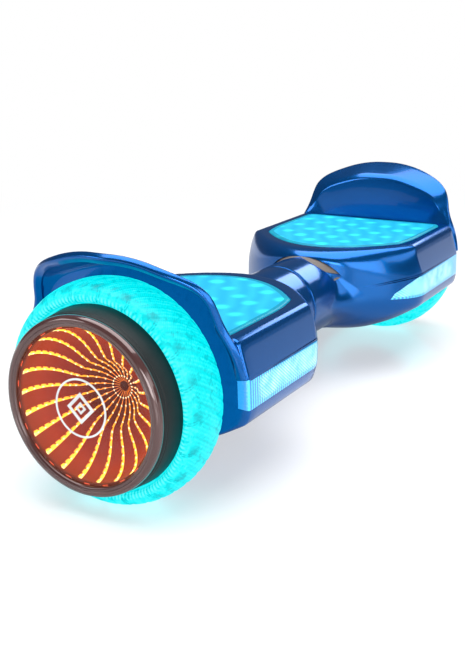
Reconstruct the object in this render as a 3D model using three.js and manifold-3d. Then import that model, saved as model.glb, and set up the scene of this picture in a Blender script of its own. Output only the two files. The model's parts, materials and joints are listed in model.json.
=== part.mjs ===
// Self-balancing two-wheel board (hoverboard) with 6.5 inch hub-motor wheels.
//
// Frame: millimetres, +Z up, X along the wheel axles, the headlights face -Y. The origin is on the
// floor, midway between the wheels. "left" and "right" are the rider's: left is +X, right is -X.
// The two halves are mirror images that twist against each other about the axle line.
import * as THREE from "three";
import { mergeVertices } from "three/addons/utils/BufferGeometryUtils.js";
import Module from "manifold-3d";

const wasm = await Module();
wasm.setup();

// ---------------------------------------------------------------- driving dimensions
const AXLE_Z = 84; // height of the axle line, which is also the tyre's radius
const GAP = 0.3; // assembly gap between neighbouring pieces
const WALL = 2.6; // moulded wall of the shells

const NECK_R = 38; // outside of the neck between the halves
const SEAM_X = 0.5; // half of the gap between the two neck collars
const END_X = 47; // the housing's inner end at the axle line
const END_BOW = 58; // how far that end sweeps back at END_BOW_Y from the middle
const END_BOW_Y = 90;
const TOP_Z = 128; // top of the housing
const TOP_REACH = [16, 24]; // how far the end face leans back at the top, in the middle and at the sides
const TOP_RISE = [8, 44]; // height over which it does so
const BELLY_SWEEP = 40; // how far the end face sweeps back at the bottom
const BELLY_Z = 38; // bottom of the housing
const CORNER_R = 11; // rounding between the end face and the sides
const WALL_X = 231; // the housing's wheel side
const SPLIT_Z = 77; // parting plane of upper and lower shell, under the headlight
const LENS_TOP_Z = 99.5;
const SIDE_Y = 97; // half width of the housing at the headlight

const FLARE_R = 24; // fillet between neck and end face, widest at the sides
const ARCH_END = 62; // the arch over the neck spans this angle each side of the top, degrees
const ARCH_GAP = 5.5; // its gap to the neck where it runs out
const ARCH_DEPTH = 9; // how far the collar runs on behind the arch
const SEAL_X = 66; // the dust seal behind the arch

const PAD_TOP = 128.6;
const PAD_BOTTOM = 125;
const PAD_WHEEL_X = 228;
const PAD_SIDE_Y = 77;
const PAD_END_X = 72;
const PAD_BOW = 53;
const TRAY_FLOOR = 119;

const BORE_Z = 88.5; // height of the charge socket and the power button on the rear face
const SOCKET_X = 150;
const BUTTON_X = 190;
const FLAP_R = 10; // the charge port's rubber flap, which lies on the rear face
const FLAP_Y = [97.3, 99.5];

// ---------------------------------------------------------------- materials
const paint = (color, roughness, metalness = 0) =>
  new THREE.MeshStandardMaterial({ color, roughness, metalness });
const finish = {
  shell: paint(0x0b4fa8, 0.18, 0.55),
  pad: paint(0x35d6ee, 0.35),
  lens: paint(0x6fe8ff, 0.15),
  board: paint(0xe8ecef, 0.5),
  tyre: paint(0x19e6ee, 0.4),
  hub: paint(0x24282b, 0.45, 0.3),
  bezel: paint(0x5a3a38, 0.2),
  smoked: paint(0x6b2b26, 0.08),
  mirror: paint(0xb43a2c, 0.1, 0.8),
  steel: paint(0xb8bcc0, 0.35, 0.9),
  alloy: paint(0x8f9499, 0.5, 0.8),
  copper: paint(0xb87333, 0.4, 0.9),
  battery: paint(0x2b6cb0, 0.5),
  rubber: paint(0x17181a, 0.8),
  circuit: paint(0x1e6b3c, 0.5),
};

// ---------------------------------------------------------------- solids
const X_AXIS = new THREE.Matrix4().makeRotationZ(-Math.PI / 2); // lathe's +Y axis onto +X

// A closed three.js geometry as a solid that can be cut.
function solidOf(geometry, matrix = new THREE.Matrix4()) {
  const flat = geometry.index ? geometry.toNonIndexed() : geometry.clone();
  const bare = new THREE.BufferGeometry();
  bare.setAttribute("position", flat.getAttribute("position"));
  bare.applyMatrix4(matrix);
  const merged = mergeVertices(bare, 1e-4);
  return new wasm.Manifold(
    new wasm.Mesh({
      numProp: 3,
      vertProperties: merged.attributes.position.array,
      triVerts: new Uint32Array(merged.index.array),
    }),
  );
}

function geometryOf(solid) {
  const { numProp, vertProperties, triVerts, numVert } = solid.getMesh();
  const position = new Float32Array(numVert * 3);
  for (let i = 0; i < numVert; i++) {
    position.set(vertProperties.subarray(i * numProp, i * numProp + 3), i * 3);
  }
  return new THREE.BufferGeometry()
    .setAttribute("position", new THREE.BufferAttribute(position, 3))
    .setIndex(new THREE.BufferAttribute(triVerts, 1));
}

// A block from its lowest and highest corner.
function block([x0, y0, z0], [x1, y1, z1]) {
  const box = new THREE.BoxGeometry(x1 - x0, y1 - y0, z1 - z0);
  const middle = new THREE.Matrix4().makeTranslation(
    (x0 + x1) / 2,
    (y0 + y1) / 2,
    (z0 + z1) / 2,
  );
  return solidOf(box, middle);
}

// A body turned about the axle line from a closed profile of [x, radius] points.
function turned(profile, segments = 32, start = 0) {
  const points = [...profile, profile[0]].map(([x, r]) => new THREE.Vector2(r, x));
  const area = points.reduce((sum, p, i) => {
    const q = points[(i + 1) % points.length];
    return sum + p.x * q.y - q.x * p.y;
  }, 0);
  if (area < 0) points.reverse();
  const lift = new THREE.Matrix4().makeTranslation(0, 0, AXLE_Z);
  return solidOf(new THREE.LatheGeometry(points, segments, start), lift.multiply(X_AXIS));
}

const ring = (x0, x1, inner, outer, segments = 32) =>
  turned(
    [
      [x0, inner],
      [x1, inner],
      [x1, outer],
      [x0, outer],
    ],
    segments,
  );

// A plain round bar along X at the axle line.
function bar(x0, x1, radius, segments = 32) {
  const cylinder = new THREE.CylinderGeometry(radius, radius, x1 - x0, segments);
  const place = new THREE.Matrix4().makeTranslation((x0 + x1) / 2, 0, AXLE_Z);
  return solidOf(cylinder, place.multiply(X_AXIS));
}

// A round bar along Y, for what sits in the rear face.
function rearBar(x, y0, y1, radius, segments = 24) {
  const cylinder = new THREE.CylinderGeometry(radius, radius, y1 - y0, segments);
  return solidOf(cylinder, new THREE.Matrix4().makeTranslation(x, (y0 + y1) / 2, BORE_Z));
}

// An outline of [x, y] points, raised from z0 to z1.
function raised(outline, z0, z1) {
  const shape = new THREE.Shape(outline.map(([x, y]) => new THREE.Vector2(x, y)));
  const body = new THREE.ExtrudeGeometry(shape, { depth: z1 - z0, bevelEnabled: false });
  return solidOf(body, new THREE.Matrix4().makeTranslation(0, 0, z0));
}

// A closed surface through rings of points, each end closed by a fan to its middle.
function loft(rings) {
  const count = rings[0].length;
  const points = rings.flat();
  const triangles = [];
  for (let k = 0; k + 1 < rings.length; k++) {
    for (let i = 0; i < count; i++) {
      const a = k * count + i;
      const b = k * count + ((i + 1) % count);
      triangles.push([a, b, b + count], [a, b + count, a + count]);
    }
  }
  for (const [start, turn] of [
    [0, true],
    [(rings.length - 1) * count, false],
  ]) {
    const end = points.slice(start, start + count);
    const middle = [0, 1, 2].map((k) => end.reduce((sum, p) => sum + p[k], 0) / count);
    points.push(middle);
    for (let i = 0; i < count; i++) {
      const a = start + i;
      const b = start + ((i + 1) % count);
      triangles.push(turn ? [b, a, points.length - 1] : [a, b, points.length - 1]);
    }
  }
  return closed(points, triangles);
}

// A closed tube of sections: the rings join end to end, and each ring is closed.
function torusLoft(rings) {
  const count = rings[0].length;
  const triangles = [];
  rings.forEach((_, k) => {
    const next = ((k + 1) % rings.length) * count;
    for (let i = 0; i < count; i++) {
      const j = (i + 1) % count;
      triangles.push([k * count + i, k * count + j, next + j]);
      triangles.push([k * count + i, next + j, next + i]);
    }
  });
  return closed(rings.flat(), triangles);
}

// Turns the triangles to face outwards and makes the solid.
function closed(points, triangles) {
  const volume = triangles.reduce((sum, [a, b, c]) => {
    const [p, q, r] = [points[a], points[b], points[c]];
    return (
      sum +
      p[0] * (q[1] * r[2] - q[2] * r[1]) +
      p[1] * (q[2] * r[0] - q[0] * r[2]) +
      p[2] * (q[0] * r[1] - q[1] * r[0])
    );
  }, 0);
  const facing = volume < 0 ? triangles.map(([a, b, c]) => [a, c, b]) : triangles;
  const geometry = new THREE.BufferGeometry()
    .setAttribute("position", new THREE.Float32BufferAttribute(points.flat(), 3))
    .setIndex(facing.flat());
  return solidOf(geometry);
}

// ---------------------------------------------------------------- curves of the housing
const smooth = (t) => {
  const s = Math.min(1, Math.max(0, t));
  return s * s * (3 - 2 * s);
};
const rad = (degrees) => (degrees * Math.PI) / 180;

// Piecewise-linear value through [position, value] knots.
function through(knots, at) {
  const next = knots.findIndex(([p]) => p >= at);
  if (next === 0) return knots[0][1];
  if (next < 0) return knots[knots.length - 1][1];
  const [[p0, v0], [p1, v1]] = [knots[next - 1], knots[next]];
  return v0 + ((v1 - v0) * (at - p0)) / (p1 - p0);
}

// Cross-section of the housing, front half, from the top centre to the belly: [|y|, z, corner size].
const SECTION = [
  [88.5, TOP_Z, 6],
  [96.5, LENS_TOP_Z, 3],
  [SIDE_Y, SPLIT_Z, 3],
  [94.5, 66, 5],
  [72, 53.5, 8],
  [45, 43.5, 12],
];

// The whole section as a closed list of [y, z], with each corner rounded by a quadratic curve.
function housingSection(steps) {
  const corners = [
    ...SECTION,
    [0, BELLY_Z, 14],
    ...[...SECTION].reverse().map(([y, z, r]) => [-y, z, r]),
    [0, TOP_Z, 20],
  ];
  const at = corners.map(([y, z]) => new THREE.Vector2(y, z));
  const points = [];
  corners.forEach(([, , size], i) => {
    const before = at[(i + corners.length - 1) % corners.length];
    const after = at[(i + 1) % corners.length];
    const start = at[i].clone().add(before.clone().sub(at[i]).setLength(size));
    const end = at[i].clone().add(after.clone().sub(at[i]).setLength(size));
    const curve = new THREE.QuadraticBezierCurve(start, at[i], end);
    points.push(...curve.getPoints(steps).map((p) => [p.x, p.y]));
  });
  return points;
}

// The section moved inwards by a wall thickness.
function inset(section, thickness) {
  return section.map(([y, z], i) => {
    const [y0, z0] = section[(i + section.length - 1) % section.length];
    const [y1, z1] = section[(i + 1) % section.length];
    const length = Math.hypot(y1 - y0, z1 - z0);
    return [y + ((z1 - z0) / length) * thickness, z - ((y1 - y0) / length) * thickness];
  });
}

// A value that goes from one in the middle to another at END_BOW_Y.
const sideways = ([middle, side], y) => middle + (side - middle) * Math.min(1, y / END_BOW_Y) ** 2;

// How far a point is into the lean at the top of the end face, 0 to 1.
function topShare(y, z) {
  const rise = sideways(TOP_RISE, Math.abs(y));
  return Math.min(1, Math.max(0, (z - (TOP_Z - rise)) / rise));
}

// Where the housing's inner end face stands at a height and distance from the middle.
function endX(y, z) {
  const lean = 1 - Math.sqrt(1 - topShare(y, z) ** 2);
  const under = Math.min(1, Math.max(0, (AXLE_Z - z) / (AXLE_Z - BELLY_Z)));
  return (
    END_X +
    END_BOW * (y / END_BOW_Y) ** 2 +
    sideways(TOP_REACH, Math.abs(y)) * lean +
    BELLY_SWEEP * under * under
  );
}

// The housing as a filled solid, from its inner end to the wheel side, inset by a thickness.
function housing(thickness, steps = 2) {
  const section = inset(housingSection(steps), thickness);
  const shares = [0.4, 0.75];
  const cornerSteps = [0, 0.5, 0.85, 1];
  const rings = shares.map((share) =>
    section.map(([y, z]) => {
      const [py, pz] = [y * share, AXLE_Z + (z - AXLE_Z) * share];
      return [endX(py, pz) + thickness, py, pz];
    }),
  );
  for (const step of cornerSteps) {
    rings.push(
      section.map(([y, z]) => {
        const reach = Math.hypot(y, z - AXLE_Z);
        const share = (reach - CORNER_R * (1 - step)) / reach;
        const [py, pz] = [y * share, AXLE_Z + (z - AXLE_Z) * share];
        const back = CORNER_R * (1 - Math.sqrt(1 - step * step)) * (1 - topShare(y, z));
        return [endX(py, pz) + thickness + back, py, pz];
      }),
    );
  }
  rings.push(section.map(([y, z]) => [WALL_X - thickness - 3, y, z]));
  rings.push(
    section.map(([y, z]) => {
      const share = 1 - 3 / Math.hypot(y, z - AXLE_Z);
      return [WALL_X - thickness, y * share, AXLE_Z + (z - AXLE_Z) * share];
    }),
  );
  return loft(rings);
}

// Angle off the top, 0 to 180 degrees, of an angle measured from +Y about the axle line.
const offTop = (angle) => Math.abs(((angle + 450) % 360) - 180);
const NECK_STEP = 15;

// The arch over the neck: its gap to the neck, from the angle off the top in degrees.
const archGap = (off) => ARCH_GAP * Math.min(1, off / ARCH_END) ** 1.3;

// The fillet between neck and end face. It meets the arch where the arch runs out.
function flare(off) {
  if (off < ARCH_END) return ARCH_GAP * smooth((off - 45) / (ARCH_END - 45));
  const sides = ARCH_GAP + (FLARE_R - ARCH_GAP) * smooth((off - ARCH_END) / 40);
  return sides * (1 - 0.85 * smooth((off - 95) / 50));
}
const archDepth = (off) => ARCH_DEPTH * (1 - smooth((off - ARCH_END + 10) / 10));

// The neck collar's outer line at one angle: [x, radius] from the seam to where it meets the end face.
function neckLine(angle, wall) {
  const off = offTop(angle);
  const [c, s] = [Math.cos(rad(angle)), Math.sin(rad(angle))];
  const fillet = flare(off);
  const line = [[SEAM_X, NECK_R - wall]];
  for (const step of [0, 0.5, 0.85, 1]) {
    const out = fillet * (1 - Math.sqrt(1 - step * step));
    const r = NECK_R + out;
    const face = endX(r * c, AXLE_Z + r * s);
    const x = face - fillet * (1 - step) + archDepth(off) * step;
    line.push([x + wall * step, r - wall * (1 - step)]);
  }
  return line;
}

function neckCollar() {
  const rings = [];
  for (let angle = 0; angle < 360; angle += NECK_STEP) {
    const outer = neckLine(angle, 0);
    const inner = neckLine(angle, WALL).reverse();
    const [c, s] = [Math.cos(rad(angle)), Math.sin(rad(angle))];
    rings.push([...outer, ...inner].map(([x, r]) => [x, r * c, AXLE_Z + r * s]));
  }
  return torusLoft(rings);
}

// What the housing's end face leaves open for the collar.
function neckOpening() {
  const outline = (x, extra) => {
    const points = [];
    for (let angle = 0; angle < 360; angle += NECK_STEP) {
      const off = offTop(angle);
      const r = NECK_R + Math.max(flare(off), off < ARCH_END ? archGap(off) : 0) + extra;
      points.push([x, r * Math.cos(rad(angle)), AXLE_Z + r * Math.sin(rad(angle))]);
    }
    return points;
  };
  return loft([outline(SEAM_X, GAP), outline(END_X + 45, GAP)]);
}

// ---------------------------------------------------------------- outlines
// The foot pad's plan, grown by a margin.
function padOutline(margin, steps = 8) {
  const side = PAD_SIDE_Y + margin;
  const points = [[PAD_WHEEL_X + margin, -side]];
  points.push([PAD_WHEEL_X + margin, side]);
  points.push([145, side]);
  for (let i = 0; i <= steps; i++) {
    const y = (PAD_SIDE_Y - 3) * (1 - (2 * i) / steps);
    const out = 1 + margin / PAD_SIDE_Y;
    points.push([PAD_END_X + PAD_BOW * (y / PAD_SIDE_Y) ** 2 - margin, y * out]);
  }
  points.push([145, -side]);
  return points;
}

// The headlight's window on the front, as a prism along Y, shrunk by a margin.
function headlightWindow(margin) {
  const window = [
    [WALL_X + 8, SPLIT_Z + margin],
    [88 + margin, SPLIT_Z + margin],
    [92 + margin, 84],
    [102 + margin, 91],
    [115 + margin, 97],
    [128 + margin, LENS_TOP_Z - margin],
    [WALL_X + 8, LENS_TOP_Z - margin],
  ];
  const shape = new THREE.Shape(window.map(([x, z]) => new THREE.Vector2(x, z)));
  const depth = 40;
  const prism = new THREE.ExtrudeGeometry(shape, { depth, bevelEnabled: false });
  const stand = new THREE.Matrix4().makeRotationX(Math.PI / 2);
  return solidOf(prism, stand.premultiply(new THREE.Matrix4().makeTranslation(0, -68, 0)));
}

// ---------------------------------------------------------------- housing pieces
const everything = ([x0, z0], [x1, z1]) => block([x0, -120, z0], [x1, 120, z1]);
const above = everything([0, SPLIT_Z], [260, 200]);
const below = everything([0, 0], [260, SPLIT_Z - GAP]);
const filled = housing(0);
const hollow = housing(WALL, 1);
const axleHole = bar(WALL_X - 20, WALL_X + 5, 14);

function upperShell(withRearFittings) {
  const tray = raised(padOutline(WALL + 0.5), TRAY_FLOOR - WALL, TOP_Z + 5);
  let shell = filled
    .subtract(hollow.subtract(tray))
    .subtract(raised(padOutline(0.5), TRAY_FLOOR, TOP_Z + 5))
    .subtract(neckOpening())
    .subtract(axleHole)
    .subtract(headlightWindow(0))
    .intersect(above);
  if (withRearFittings) {
    shell = shell
      .add(rearBar(SOCKET_X, 84, 96.2, 14))
      .add(rearBar(BUTTON_X, 88, 96.2, 10))
      .subtract(rearBar(SOCKET_X, 70, 110, 8))
      .subtract(rearBar(BUTTON_X, 70, 110, 6.5))
      .intersect(above);
  }
  return shell;
}

const lowerShell = () =>
  filled.subtract(hollow).subtract(neckOpening()).subtract(axleHole).intersect(below);

function headlightLens() {
  const skin = filled.subtract(housing(2.6, 1));
  return skin.intersect(headlightWindow(GAP));
}

// The grey ring that shows in the arch gap and closes it against dust.
function neckSeal() {
  const rings = [];
  for (let angle = 90 - ARCH_END; angle <= 90 + ARCH_END; angle += 10.333) {
    const off = Math.abs(angle - 90);
    const [c, s] = [Math.cos(rad(angle)), Math.sin(rad(angle))];
    const [r0, r1] = [NECK_R + GAP, NECK_R + Math.max(archGap(off), 1) + 1];
    const section = [
      [SEAL_X, r0],
      [SEAL_X + 2, r0],
      [SEAL_X + 2, r1],
      [SEAL_X, r1],
    ];
    rings.push(section.map(([px, r]) => [px, r * c, AXLE_Z + r * s]));
  }
  return loft(rings);
}

// Fender: [angle off the top, value] knots, measured about the axle line.
const CREASE = [
  [0, 92],
  [25, 94.9],
  [42, 100.3],
  [62, 95.6],
  [66, 96.4],
  [82, 95],
];
const LIP = [
  [0, 103],
  [14, 104.5],
  [27, 106.5],
  [35, 109],
  [41, 110.4],
  [47.5, 107.9],
  [52, 102.3],
  [58.7, 98.6],
  [65, 98.9],
  [82, 97.5],
];
const LIP_X = [
  [0, 268],
  [27, 262],
  [43, 250],
  [56, 243],
  [64, 240],
  [82, 234.5],
];
const FENDER_END = 80; // angle off the top where the fender's tips reach the headlight
const FENDER_FOOT_Z = 122; // the fender's foot, against the housing's wheel side
const ARCH_CLEAR = 88.5; // radius that the fender's underside keeps from the axle line

function fender(step = 8) {
  const rings = [];
  for (let angle = 90 - FENDER_END; angle <= 90 + FENDER_END; angle += step) {
    const off = Math.abs(angle - 90);
    const x0 = WALL_X + GAP;
    const crease = through(CREASE, off);
    const lip = through(LIP, off);
    const lipX = through(LIP_X, off);
    const foot = Math.min((FENDER_FOOT_Z - AXLE_Z) / Math.cos(rad(off)), lip - 13);
    const under = Math.max(ARCH_CLEAR, lip - 8);
    const root = Math.max(under, crease - 6);
    const wide = 1 - smooth((off - 50) / 14);
    const width = lipX - x0;
    const wall = (most, share) => x0 + Math.min(most, width * share);
    const section = [
      [x0, foot],
      [x0 + 3 * wide, crease - 4],
      [x0 + 6 * wide, crease],
      [x0 + 0.6 * width, (crease + lip) / 2 + 1],
      [lipX - Math.min(3, width * 0.4), lip],
      [lipX, lip - 3],
      [lipX, under],
      [lipX - Math.min(2.2, width * 0.3), under],
      [wall(2.4 + 6 * wide, 0.5), Math.min(root, crease - 1.5)],
      [wall(1.2 + 3 * wide, 0.4), Math.max(foot + 1, Math.min(root - 4, crease - 5))],
      [wall(1.4, 0.35), foot],
    ];
    const [c, s] = [Math.cos(rad(angle)), Math.sin(rad(angle))];
    rings.push(section.map(([x, r]) => [x, r * c, AXLE_Z + r * s]));
  }
  return loft(rings);
}

// ---------------------------------------------------------------- inside the housing
// Cast frame: a block round the pivot, a block that clamps the axle, and a tray between them.
function chassis(cuts) {
  let frame = block([80, -32, 56], [104, 32, 114])
    .add(block([98, -59, 54], [110, 59, 74]))
    .add(block([205, -24, 56], [224, 24, 102]))
    .add(block([199, -59, 54], [224, 59, 74]))
    .add(block([106, -45, 49], [214, 45, 54.5]));
  for (const y of [-50, 50]) {
    frame = frame.add(block([98, y - 9, 54], [214, y + 9, 80]));
  }
  return cuts.reduce((left, cut) => left.subtract(cut), frame.subtract(bar(190, 230, 8 + GAP, 16)));
}

// Stator: a toothed ring of laminations on a sleeve, and a flange that carries it on the axle.
function stator() {
  const teeth = 12;
  const shape = new THREE.Shape();
  for (let i = 0; i < teeth; i++) {
    const at = (k, r) => {
      const angle = ((i + k) / teeth) * 2 * Math.PI;
      return [r * Math.cos(angle), r * Math.sin(angle)];
    };
    for (const [k, r] of [
      [0, 48.8],
      [0.8, 48.8],
      [0.65, 46],
      [0.65, 40],
      [1.15, 40],
      [1.15, 46],
    ]) {
      if (i === 0 && k === 0) shape.moveTo(...at(k, r));
      else shape.lineTo(...at(k, r));
    }
  }
  shape.closePath();
  const bore = new THREE.Path();
  bore.absarc(0, 0, 36.6, 0, 2 * Math.PI, true);
  shape.holes.push(bore);
  const stack = new THREE.ExtrudeGeometry(shape, {
    depth: 16,
    bevelEnabled: false,
    curveSegments: 12,
  });
  const turn = new THREE.Matrix4().makeRotationY(Math.PI / 2);
  const place = new THREE.Matrix4().makeTranslation(240.5, 0, AXLE_Z).multiply(turn);
  return solidOf(stack, place).add(ring(237, 241, 8 + GAP, 38.4, 24));
}

const tyreProfile = [
  [236.5, 62.3],
  [235.5, 74],
  [238.5, 81],
  [246, 83.2],
  [251.5, AXLE_Z],
  [260.5, AXLE_Z],
  [266.5, 83.1],
  [273, 80.4],
  [277.2, 75],
  [275.6, 70.8],
  [270.2, 69.4],
  [267.9, 62.3],
];
// The hub turns on a wide sleeve, which leaves its middle free for the mirrored bowl.
const hubProfile = [
  [240.4, 57.5],
  [258.5, 57.5],
  [258.5, 31.3],
  [241.6, 31.3],
  [241.6, 29],
  [261.5, 29],
  [261.5, 60],
  [290.5, 60],
  [290.5, 66],
  [270.7, 68.6],
  [268.4, 61.9],
  [240.4, 61.9],
];
const BOWL_RIM_X = 293;
const BOWL_WALL = 1.1;
const BOWL = [
  [0, 56.8],
  [8, 55.4],
  [15, 51.6],
  [21, 45.6],
  [26, 36.8],
  [28.6, 27],
  [36, 22.5],
  [44, 14.5],
  [49, 5],
];
const bowlProfile = [
  ...BOWL.map(([depth, radius]) => [BOWL_RIM_X - depth, radius]),
  [243.2, 0],
  [241.9, 0],
  ...BOWL.slice(1)
    .reverse()
    .map(([depth, radius]) => [BOWL_RIM_X - depth - 0.6, radius + BOWL_WALL]),
  [292.2, 59],
  [BOWL_RIM_X, 59],
];
const bezelProfile = [
  [293.3, 57.6],
  [296.7, 58],
  [296.7, 63.8],
  [295, 65.8],
  [290.8, 65.8],
  [290.8, 60.5],
  [293.3, 60.5],
];

// ---------------------------------------------------------------- assembly
const board = new THREE.Group();

function add(group, name, solid, material) {
  const mesh = new THREE.Mesh(geometryOf(solid), material);
  mesh.name = name;
  group.add(mesh);
}

// The tyre has a flat of its polygon at the bottom, and its flats touch the true circle.
function tyre() {
  const sides = 32;
  const outside = tyreProfile.map(([x, r]) => [x, r / Math.cos(Math.PI / sides)]);
  return turned(outside, sides, Math.PI / sides);
}

function addWheel(group, tag) {
  const pieces = [
    ["axle", bar(207, 240, 8, 16), finish.steel],
    ["stator", stator(), finish.copper],
    ["magnet_ring", ring(241, 256, 49.4, 57.2, 28), finish.steel],
    ["motor_hub", turned(hubProfile, 28), finish.hub],
    ["hub_cover", ring(236.8, 240, 39, 61.5, 28), finish.hub],
    ["bearing_inner", ring(242, 247, 31.9, 35.9, 24), finish.steel],
    ["bearing_outer", ring(251, 256, 31.9, 35.9, 24), finish.steel],
    ["tyre", tyre(), finish.tyre],
    ["cap_bezel", turned(bezelProfile, 28), finish.bezel],
    ["cap_lens", bar(293.6, 295.4, 57.2, 28), finish.smoked],
    ["cap_mirror", turned(bowlProfile, 24), finish.mirror],
    ["cap_light_ring", ring(285.5, 290.3, 58.6, 59.3, 24), finish.board],
  ];
  for (const [name, solid, material] of pieces) {
    add(group, name + tag, solid, material);
  }
}

function addHalf(side) {
  const left = side > 0;
  const tag = left ? "_left" : "_right";
  const half = new THREE.Group();
  half.scale.x = side;
  add(half, "upper_shell" + tag, upperShell(left), finish.shell);
  add(half, "lower_shell" + tag, lowerShell(), finish.shell);
  add(half, "fender" + tag, fender(), finish.shell);
  add(half, "neck_collar" + tag, neckCollar(), finish.shell);
  add(half, "neck_seal" + tag, neckSeal(), finish.rubber);
  add(half, "foot_pad" + tag, raised(padOutline(0), PAD_BOTTOM, PAD_TOP), finish.pad);
  const padBoard = raised(padOutline(-3), TRAY_FLOOR + GAP, TRAY_FLOOR + 1.5);
  add(half, "pad_light_board" + tag, padBoard, finish.board);
  add(half, "pad_switch" + tag, block([140, -9, 120.8], [164, 9, 123]), finish.rubber);
  add(half, "headlight_lens" + tag, headlightLens(), finish.lens);
  add(half, "headlight_board" + tag, block([132, -92.2, 80], [222, -90.6, 96]), finish.board);
  add(half, "chassis" + tag, chassis(left ? [tubeSeat] : [bushSeat, ringPocket, pinSlot]), finish.alloy);
  add(half, "sensor_board" + tag, block([120, -22, 94], [170, 22, 95.6]), finish.circuit);
  addWheel(half, tag);
  board.add(half);
}

// The pivot: its tube is clamped in the left chassis and turns in a flanged bush in the right one.
// A pin that stands on the tube moves in a slot of the bush and the chassis, and limits the twist.
const TUBE_R = 22;
const BUSH_R = 25.7;
const PIN_X = 86;
const PIN_SLOT = 9.5;
const tubeSeat = bar(70, 110, TUBE_R + GAP, 24);
const bushSeat = bar(70, 110, BUSH_R + GAP, 24);
const ringPocket = bar(96, 110, 28, 24);
const pinSlot = block([PIN_X - 4, -PIN_SLOT, AXLE_Z + 12], [PIN_X + 4, PIN_SLOT, AXLE_Z + 40]);

addHalf(1);
addHalf(-1);

add(board, "pivot_tube", ring(-100, 104, 18, TUBE_R, 24), finish.steel);
const bushFlange = ring(76, 79.7, TUBE_R + GAP, 29, 24);
const bush = ring(77, 95, TUBE_R + GAP, BUSH_R, 24).add(bushFlange).subtract(pinSlot);
const pinBase = AXLE_Z + TUBE_R + GAP;
const pin = new THREE.CylinderGeometry(2.5, 2.5, 8, 12);
const pinPlace = new THREE.Matrix4().makeTranslation(PIN_X, 0, pinBase + 4);
const upright = new THREE.Matrix4().makeRotationX(Math.PI / 2);
const pivotRight = new THREE.Group();
pivotRight.scale.x = -1;
add(pivotRight, "pivot_bush", bush, finish.copper);
add(pivotRight, "retaining_ring", ring(96.5, 98.3, TUBE_R + GAP, 27.5, 24), finish.steel);
add(pivotRight, "stop_pin", solidOf(pin, pinPlace.multiply(upright)), finish.steel);
board.add(pivotRight);
add(board, "cross_harness", bar(-106, 110, 6, 12), finish.rubber);

// Power and electronics.
add(board, "battery_pack", block([-197, -38, 55], [-112, 38, 91]), finish.battery);
add(board, "main_board", block([114, -38, 55], [196, 38, 56.6]), finish.circuit);
add(board, "speaker", block([140, -80, 62], [176, -62, 75]), finish.rubber);

// Rear fittings of the left half: charge socket with its flap, and the power button.
const socket = rearBar(SOCKET_X, 78, 93.3, 7.7, 20).subtract(rearBar(SOCKET_X, 81, 100, 5.6, 20));
add(board, "charge_socket", socket, finish.rubber);
const flapTab = block(
  [SOCKET_X - 2.5, FLAP_Y[0], BORE_Z - FLAP_R],
  [SOCKET_X + 2.5, FLAP_Y[1], BORE_Z - FLAP_R + 5],
);
add(board, "port_flap", rearBar(SOCKET_X, ...FLAP_Y, FLAP_R - 0.2).add(flapTab), finish.rubber);
add(board, "power_button", rearBar(BUTTON_X, 89, 96.4, 6.1), finish.steel);

export default board;
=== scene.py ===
"""Looks of the self-balancing two-wheel board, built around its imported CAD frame.

Metres, +Z up, X along the wheel axles, the headlights face -Y. Shapes are written in millimetres
for the left half (+X) and mirrored into the right half.
"""

import json
import math

import bmesh
import bpy
from mathutils import Matrix, Quaternion, Vector


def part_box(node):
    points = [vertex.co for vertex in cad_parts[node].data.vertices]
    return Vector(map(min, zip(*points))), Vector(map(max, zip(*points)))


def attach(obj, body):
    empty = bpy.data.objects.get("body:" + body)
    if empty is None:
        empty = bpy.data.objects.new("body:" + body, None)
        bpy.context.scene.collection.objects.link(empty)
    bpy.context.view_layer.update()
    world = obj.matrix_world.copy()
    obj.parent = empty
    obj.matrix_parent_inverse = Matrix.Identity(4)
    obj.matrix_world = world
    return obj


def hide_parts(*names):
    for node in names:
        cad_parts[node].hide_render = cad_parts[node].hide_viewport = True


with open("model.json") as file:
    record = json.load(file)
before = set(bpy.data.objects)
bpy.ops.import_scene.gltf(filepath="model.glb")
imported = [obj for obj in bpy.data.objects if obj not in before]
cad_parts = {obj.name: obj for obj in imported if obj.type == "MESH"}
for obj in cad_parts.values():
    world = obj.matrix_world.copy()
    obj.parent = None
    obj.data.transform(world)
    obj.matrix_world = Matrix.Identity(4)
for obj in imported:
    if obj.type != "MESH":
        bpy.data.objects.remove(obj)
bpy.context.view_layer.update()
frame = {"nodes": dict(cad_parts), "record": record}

MM = 0.001
BODY_OF = {n: b for b, ns in frame["record"]["behaviour"]["bodies"].items() for n in ns}


def span(node):
    """Lowest and highest corner of a CAD node in millimetres."""
    return [[c / MM for c in corner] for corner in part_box(node)]


def middle_xz(node):
    """The middle of a CAD node as seen from the rear."""
    low, high = span(node)
    return (low[0] + high[0]) / 2, (low[2] + high[2]) / 2


# ---- dimensions, millimetres
tyre_low, tyre_high = span("tyre_left")
AXLE_Z = (tyre_low[2] + tyre_high[2]) / 2
shell_low, shell_high = span("upper_shell_left")
WALL_X = shell_high[0]
TOP_Z = shell_high[2]
SPLIT_Z = shell_low[2]
BELLY_Z = span("lower_shell_left")[0][2]
NECK_R = 38.0
pad_low, pad_high = span("foot_pad_left")
flap_low, flap_high = span("port_flap")

END_X, END_BOW, END_BOW_Y = 47.0, 58.0, 90.0
TOP_REACH, TOP_RISE = (16.0, 24.0), (8.0, 44.0)
BELLY_SWEEP = 40.0
CORNER_R = 11.0
LENS_TOP_Z = 99.5
WALL = 2.4
FLARE_R, ARCH_END, ARCH_GAP = 24.0, 62.0, 5.5
SECTION = [
    (88.5, TOP_Z, 6.0), (96.5, LENS_TOP_Z, 3.0), (97.0, SPLIT_Z, 3.0), (94.5, 66.0, 5.0),
    (72.0, 53.5, 8.0), (45.0, 43.5, 12.0),
]


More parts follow.
